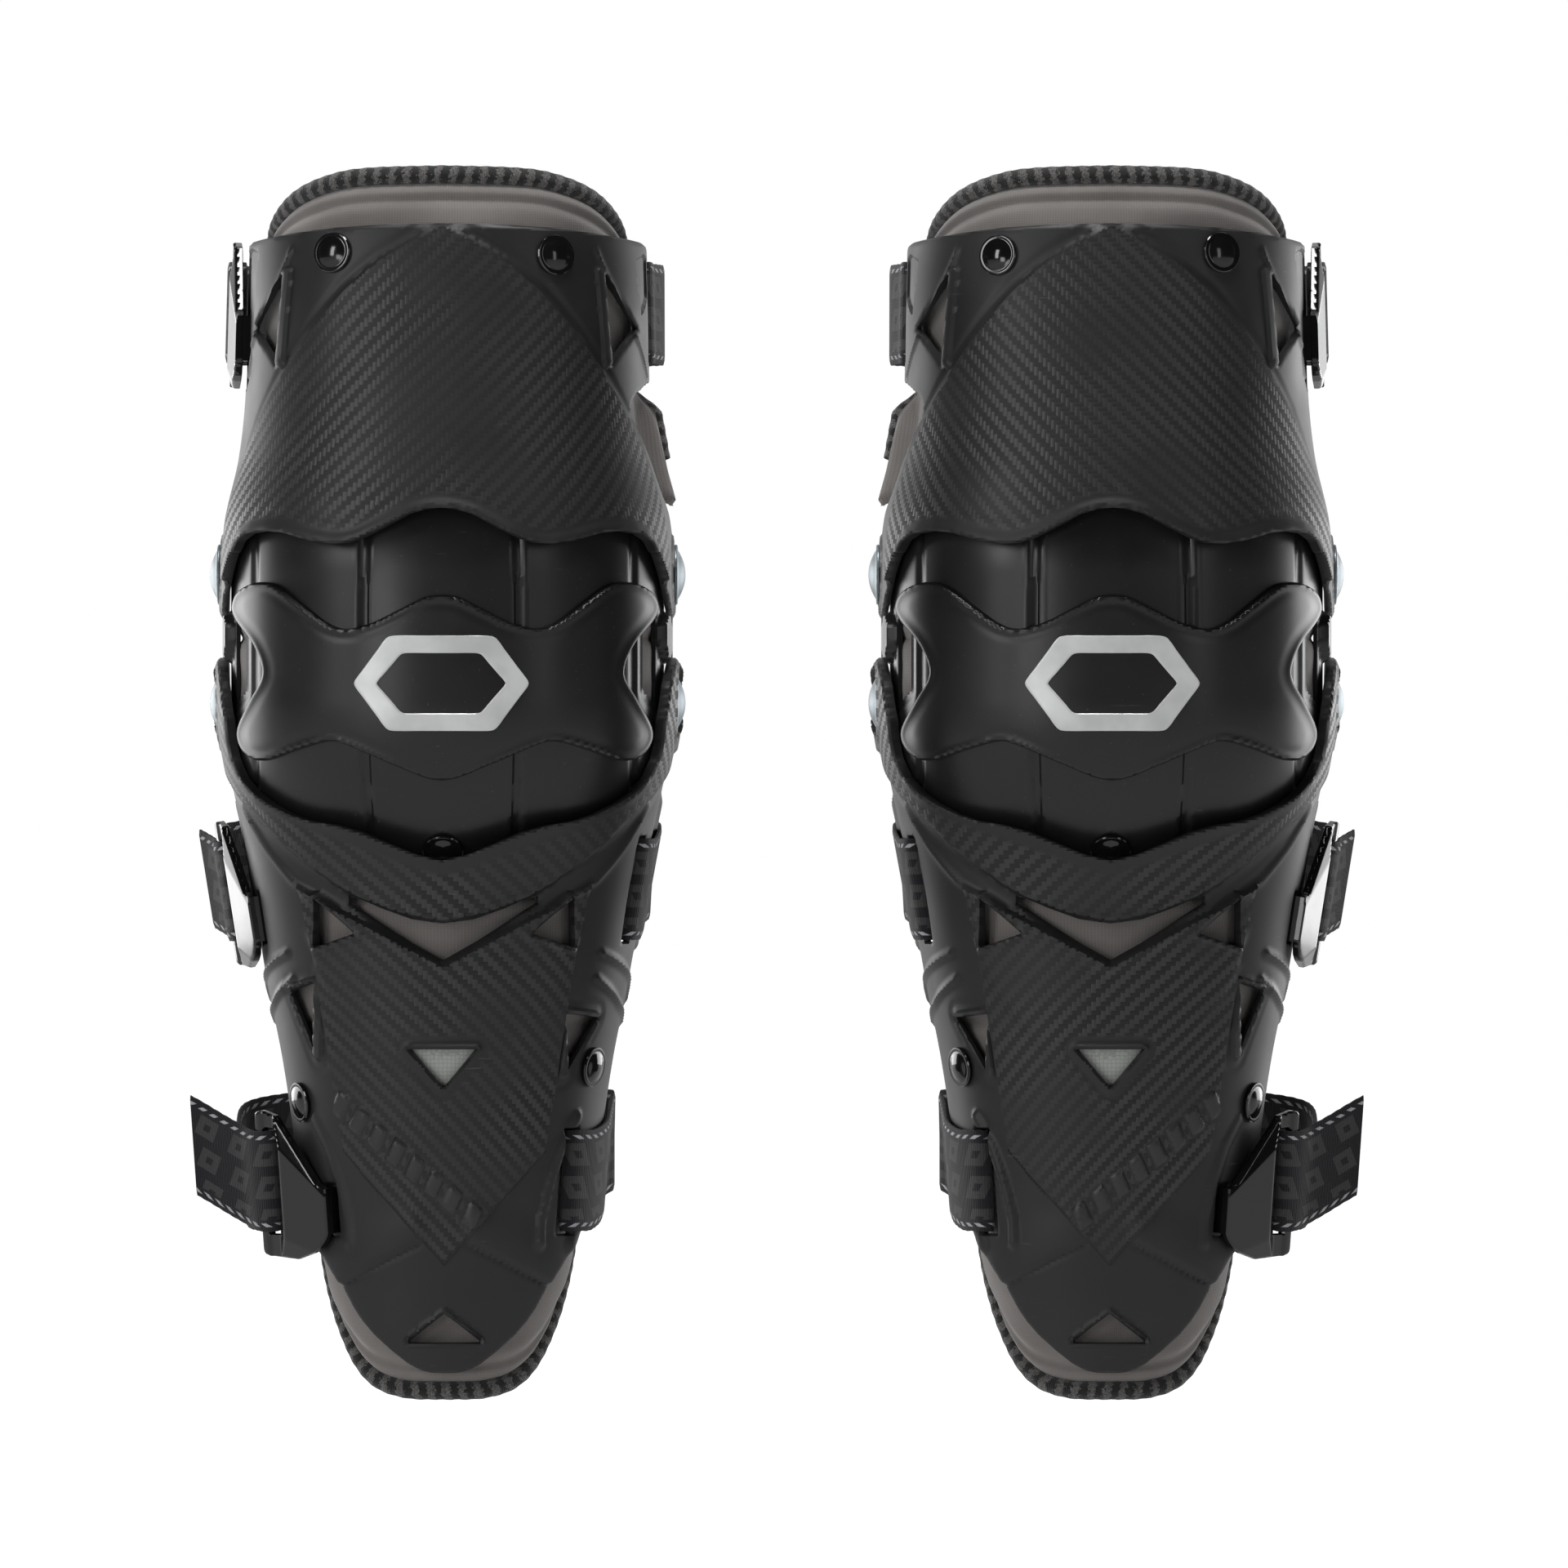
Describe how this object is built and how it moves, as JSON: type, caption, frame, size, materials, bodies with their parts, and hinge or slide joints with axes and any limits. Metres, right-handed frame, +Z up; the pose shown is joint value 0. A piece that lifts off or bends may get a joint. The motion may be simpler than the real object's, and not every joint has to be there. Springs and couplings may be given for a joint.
{
  "type": "hinged knee guard pair",
  "caption": "Pair of off-road motorcycling knee guards with plastic thigh, knee and shin shells on riveted hinges, foam liners, striped edge binding and clip-on elastic straps.",
  "frame": {"origin": "on the plane between the two guards, on the line through their hinge axes seen from above, level with the toes", "axes": "+Z up the leg, -Y towards the front of the guards, +X to the wearer's left"},
  "size_m": [0.4508, 0.1689, 0.4895],
  "materials": {
    "shell": "moulded twill grain",
    "cup": "satin",
    "liner": "ribbed stretch cloth over foam",
    "binding": "striped cord",
    "webbing": "woven elastic",
    "gloss": "polished",
    "print": "printed",
    "reflector": "reflective sheet",
    "rivet": "polished"
  },
  "bodies": {
    "right_shin": {"right_shin_shell": "shell", "right_shin_liner": "liner", "right_shin_binding": "binding", "right_shin_reflector": "reflector", "right_shin_snap_outer": "gloss", "right_shin_snap_inner": "gloss", "right_calf_strap": "webbing", "right_ankle_strap": "webbing"},
    "right_knee": {"right_knee_cup": "cup", "right_knee_band": "shell", "right_knee_emblem": "print", "right_knee_liner": "liner", "right_knee_snap": "gloss", "right_upper_rivet_outer": "rivet", "right_upper_rivet_inner": "rivet", "right_lower_rivet_outer": "rivet", "right_lower_rivet_inner": "rivet"},
    "right_thigh": {"right_thigh_shell": "shell", "right_thigh_liner": "liner", "right_thigh_binding": "binding", "right_thigh_snap_outer": "gloss", "right_thigh_snap_inner": "gloss", "right_thigh_strap": "webbing"},
    "right_thigh_clip": {"right_thigh_clip": "gloss", "right_thigh_strap_loop": "webbing"},
    "right_calf_clip": {"right_calf_clip": "gloss", "right_calf_strap_loop": "webbing"},
    "right_ankle_clip": {"right_ankle_clip": "gloss", "right_ankle_strap_loop": "webbing"},
    "left_shin": {"left_shin_shell": "shell", "left_shin_liner": "liner", "left_shin_binding": "binding", "left_shin_reflector": "reflector", "left_shin_snap_outer": "gloss", "left_shin_snap_inner": "gloss", "left_calf_strap": "webbing", "left_ankle_strap": "webbing"},
    "left_knee": {"left_knee_cup": "cup", "left_knee_band": "shell", "left_knee_emblem": "print", "left_knee_liner": "liner", "left_knee_snap": "gloss", "left_upper_rivet_outer": "rivet", "left_upper_rivet_inner": "rivet", "left_lower_rivet_outer": "rivet", "left_lower_rivet_inner": "rivet"},
    "left_thigh": {"left_thigh_shell": "shell", "left_thigh_liner": "liner", "left_thigh_binding": "binding", "left_thigh_snap_outer": "gloss", "left_thigh_snap_inner": "gloss", "left_thigh_strap": "webbing"},
    "left_thigh_clip": {"left_thigh_clip": "gloss", "left_thigh_strap_loop": "webbing"},
    "left_calf_clip": {"left_calf_clip": "gloss", "left_calf_strap_loop": "webbing"},
    "left_ankle_clip": {"left_ankle_clip": "gloss", "left_ankle_strap_loop": "webbing"}
  },
  "joints": [
    {"name": "right_lower_hinge", "type": "hinge", "parent": "right_shin", "child": "right_knee", "pos_m": [-0.131, 0, 0.277], "axis": [-1, 0, 0], "range_deg": [0, 45]},
    {"name": "right_upper_hinge", "type": "hinge", "parent": "right_knee", "child": "right_thigh", "pos_m": [-0.131, 0, 0.328], "axis": [-1, 0, 0], "range_deg": [0, 45]},
    {"name": "right_thigh_clip_hinge", "type": "hinge", "parent": "right_thigh", "child": "right_thigh_clip", "pos_m": [-0.20869, -0.01288, 0.433], "axis": [0.0265, 0.0025, 0.9996], "range_deg": [0, 35]},
    {"name": "right_calf_clip_hinge", "type": "hinge", "parent": "right_shin", "child": "right_calf_clip", "pos_m": [-0.20502, -0.02036, 0.203], "axis": [-0.1563, -0.0425, 0.9868], "range_deg": [0, 35]},
    {"name": "right_ankle_clip_hinge", "type": "hinge", "parent": "right_shin", "child": "right_ankle_clip", "pos_m": [-0.17568, -0.03799, 0.088], "axis": [-0.066, -0.0684, 0.9955], "range_deg": [0, 35]},
    {"name": "left_lower_hinge", "type": "hinge", "parent": "left_shin", "child": "left_knee", "pos_m": [0.131, 0, 0.277], "axis": [-1, 0, 0], "range_deg": [0, 45]},
    {"name": "left_upper_hinge", "type": "hinge", "parent": "left_knee", "child": "left_thigh", "pos_m": [0.131, 0, 0.328], "axis": [-1, 0, 0], "range_deg": [0, 45]},
    {"name": "left_thigh_clip_hinge", "type": "hinge", "parent": "left_thigh", "child": "left_thigh_clip", "pos_m": [0.20869, -0.01288, 0.433], "axis": [0.0265, -0.0025, -0.9996], "range_deg": [0, 35]},
    {"name": "left_calf_clip_hinge", "type": "hinge", "parent": "left_shin", "child": "left_calf_clip", "pos_m": [0.20502, -0.02036, 0.203], "axis": [-0.1563, 0.0425, -0.9868], "range_deg": [0, 35]},
    {"name": "left_ankle_clip_hinge", "type": "hinge", "parent": "left_shin", "child": "left_ankle_clip", "pos_m": [0.17568, -0.03799, 0.088], "axis": [-0.066, 0.0684, -0.9955], "range_deg": [0, 35]},
    {"name": "guards_apart", "type": "slide", "parent": "right_shin", "child": "left_shin", "axis": [1, 0, 0], "range_m": [-0.03, 0.2]}
  ]
}
